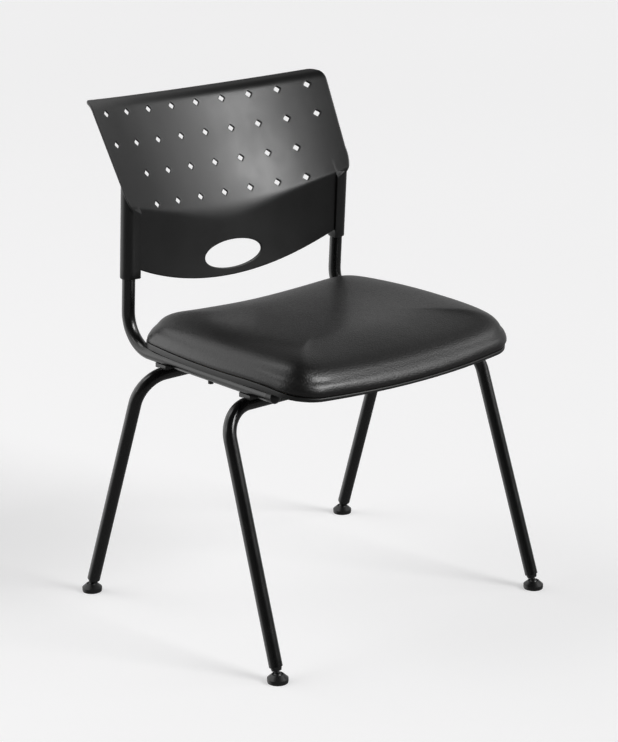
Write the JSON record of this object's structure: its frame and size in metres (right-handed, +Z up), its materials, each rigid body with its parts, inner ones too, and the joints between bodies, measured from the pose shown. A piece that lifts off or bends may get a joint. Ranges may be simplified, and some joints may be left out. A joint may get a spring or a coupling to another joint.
{
  "type": "stacking chair",
  "caption": "Armless stacking chair: bent tube frame, padded black seat, perforated moulded backrest with a hand hole, and tilting disc feet.",
  "frame": {"origin": "on the floor, under the centre of the overall box of the chair", "axes": "+Z up, the chair faces -Y, +X is the seated person's left"},
  "size_m": [0.5584, 0.5454, 0.7653],
  "materials": {
    "frame_paint": "gloss black powder coat",
    "plug_plastic": "fine moulded black plastic",
    "buffer_rubber": "matt black rubber",
    "screw_steel": "black zinc steel screw",
    "zinc_steel": "bright zinc plate",
    "foot_plastic": "satin black plastic",
    "liner_plastic": "dark acetal",
    "sole_plastic": "matt dark wearing disc",
    "shell_plastic": "satin fine-textured black moulding",
    "pan_plastic": "satin black moulding",
    "seat_board_wood": "raw birch plywood",
    "seat_foam": "cut cushion foam",
    "seat_cover": "black coated upholstery with a satin grain"
  },
  "bodies": {
    "chair": {"left_side_tube": "frame_paint", "left_rail_plug": "plug_plastic", "left_stacking_buffer": "buffer_rubber", "left_backrest_screw": "screw_steel", "right_side_tube": "frame_paint", "right_rail_plug": "plug_plastic", "right_stacking_buffer": "buffer_rubber", "right_backrest_screw": "screw_steel", "front_leg_hoop": "frame_paint", "front_left_saddle": "frame_paint", "front_left_foot_insert": "foot_plastic", "front_left_tee_nut": "zinc_steel", "front_left_seat_screw": "zinc_steel", "front_left_washer": "zinc_steel", "front_right_saddle": "frame_paint", "front_right_foot_insert": "foot_plastic", "front_right_tee_nut": "zinc_steel", "front_right_seat_screw": "zinc_steel", "front_right_washer": "zinc_steel", "rear_leg_hoop": "frame_paint", "rear_left_saddle": "frame_paint", "rear_left_foot_insert": "foot_plastic", "rear_left_tee_nut": "zinc_steel", "rear_left_seat_screw": "zinc_steel", "rear_left_washer": "zinc_steel", "rear_right_saddle": "frame_paint", "rear_right_foot_insert": "foot_plastic", "rear_right_tee_nut": "zinc_steel", "rear_right_seat_screw": "zinc_steel", "rear_right_washer": "zinc_steel", "backrest_shell": "shell_plastic", "seat_pan": "pan_plastic", "seat_board": "seat_board_wood", "seat_foam": "seat_foam", "seat_cover": "seat_cover", "pan_screws": "screw_steel"},
    "front_left_liner": {"front_left_foot_liner": "liner_plastic"},
    "front_left_foot": {"front_left_foot_cap": "foot_plastic", "front_left_foot_sole": "sole_plastic"},
    "front_right_liner": {"front_right_foot_liner": "liner_plastic"},
    "front_right_foot": {"front_right_foot_cap": "foot_plastic", "front_right_foot_sole": "sole_plastic"},
    "rear_left_liner": {"rear_left_foot_liner": "liner_plastic"},
    "rear_left_foot": {"rear_left_foot_cap": "foot_plastic", "rear_left_foot_sole": "sole_plastic"},
    "rear_right_liner": {"rear_right_foot_liner": "liner_plastic"},
    "rear_right_foot": {"rear_right_foot_cap": "foot_plastic", "rear_right_foot_sole": "sole_plastic"}
  },
  "joints": [
    {"name": "front_left_foot_pitch", "type": "hinge", "parent": "chair", "child": "front_left_liner", "pos_m": [0.2637, -0.25723, 0.009], "axis": [1, 0, 0], "range_deg": [-8, 8]},
    {"name": "front_left_foot_roll", "type": "hinge", "parent": "front_left_liner", "child": "front_left_foot", "pos_m": [0.2637, -0.25723, 0.009], "axis": [0, 1, 0], "range_deg": [-8, 8]},
    {"name": "front_right_foot_pitch", "type": "hinge", "parent": "chair", "child": "front_right_liner", "pos_m": [-0.2637, -0.25723, 0.009], "axis": [1, 0, 0], "range_deg": [-8, 8]},
    {"name": "front_right_foot_roll", "type": "hinge", "parent": "front_right_liner", "child": "front_right_foot", "pos_m": [-0.2637, -0.25723, 0.009], "axis": [0, 1, 0], "range_deg": [-8, 8]},
    {"name": "rear_left_foot_pitch", "type": "hinge", "parent": "chair", "child": "rear_left_liner", "pos_m": [0.2637, 0.19137, 0.009], "axis": [1, 0, 0], "range_deg": [-8, 8]},
    {"name": "rear_left_foot_roll", "type": "hinge", "parent": "rear_left_liner", "child": "rear_left_foot", "pos_m": [0.2637, 0.19137, 0.009], "axis": [0, 1, 0], "range_deg": [-8, 8]},
    {"name": "rear_right_foot_pitch", "type": "hinge", "parent": "chair", "child": "rear_right_liner", "pos_m": [-0.2637, 0.19137, 0.009], "axis": [1, 0, 0], "range_deg": [-8, 8]},
    {"name": "rear_right_foot_roll", "type": "hinge", "parent": "rear_right_liner", "child": "rear_right_foot", "pos_m": [-0.2637, 0.19137, 0.009], "axis": [0, 1, 0], "range_deg": [-8, 8]}
  ]
}
